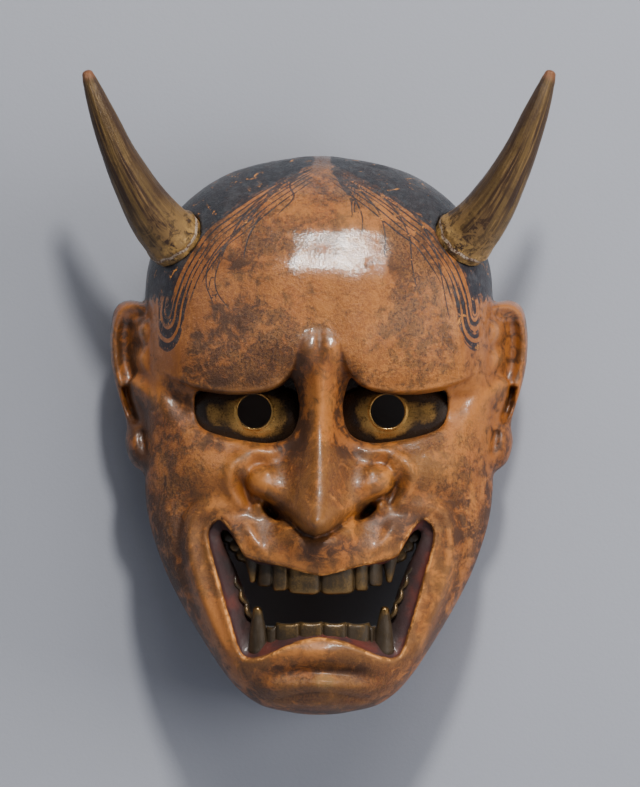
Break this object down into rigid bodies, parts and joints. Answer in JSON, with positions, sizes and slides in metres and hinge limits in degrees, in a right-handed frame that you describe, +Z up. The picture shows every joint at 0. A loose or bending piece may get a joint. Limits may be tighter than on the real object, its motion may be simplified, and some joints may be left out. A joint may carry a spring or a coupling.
{
  "type": "noh mask",
  "caption": "Horned demon mask for noh theatre, carved from one block of wood and hollowed at the back, with gilt metal eyes and teeth and tenoned horns that draw out.",
  "frame": {"origin": "centre of the back opening, on the plane of the rim", "axes": "+Z up towards the crown, -Y the way the face looks, +X towards the wearer's left"},
  "size_m": [0.1776, 0.0826, 0.2425],
  "materials": {
    "painted_wood": "worn copper-brown paint and patina over carved wood, satin",
    "horn_wood": "dark rubbed gilding over carved wood, satin",
    "eye_gilt": "gilt copper, aged and darkened at the edges",
    "tooth_gilt": "dark antique gilding, worn bright at the edges",
    "tack_brass": "dull"
  },
  "bodies": {
    "mask": {"face_shell": "painted_wood", "left_eye_plate": "eye_gilt", "right_eye_plate": "eye_gilt", "left_eye_tacks": "tack_brass", "right_eye_tacks": "tack_brass", "upper_front_teeth": "tooth_gilt", "lower_front_teeth": "tooth_gilt", "left_upper_fang": "tooth_gilt", "right_upper_fang": "tooth_gilt", "left_lower_fang": "tooth_gilt", "right_lower_fang": "tooth_gilt", "left_upper_back_teeth": "tooth_gilt", "right_upper_back_teeth": "tooth_gilt", "left_lower_back_teeth": "tooth_gilt", "right_lower_back_teeth": "tooth_gilt"},
    "left_horn_body": {"left_horn": "horn_wood"},
    "right_horn_body": {"right_horn": "horn_wood"}
  },
  "joints": [
    {"name": "left_horn_slide", "type": "slide", "parent": "mask", "child": "left_horn_body", "axis": [0.5993, -0.5194, 0.6092], "range_m": [0, 0.02]},
    {"name": "right_horn_slide", "type": "slide", "parent": "mask", "child": "right_horn_body", "axis": [-0.5993, -0.5194, 0.6092], "range_m": [0, 0.02]}
  ]
}
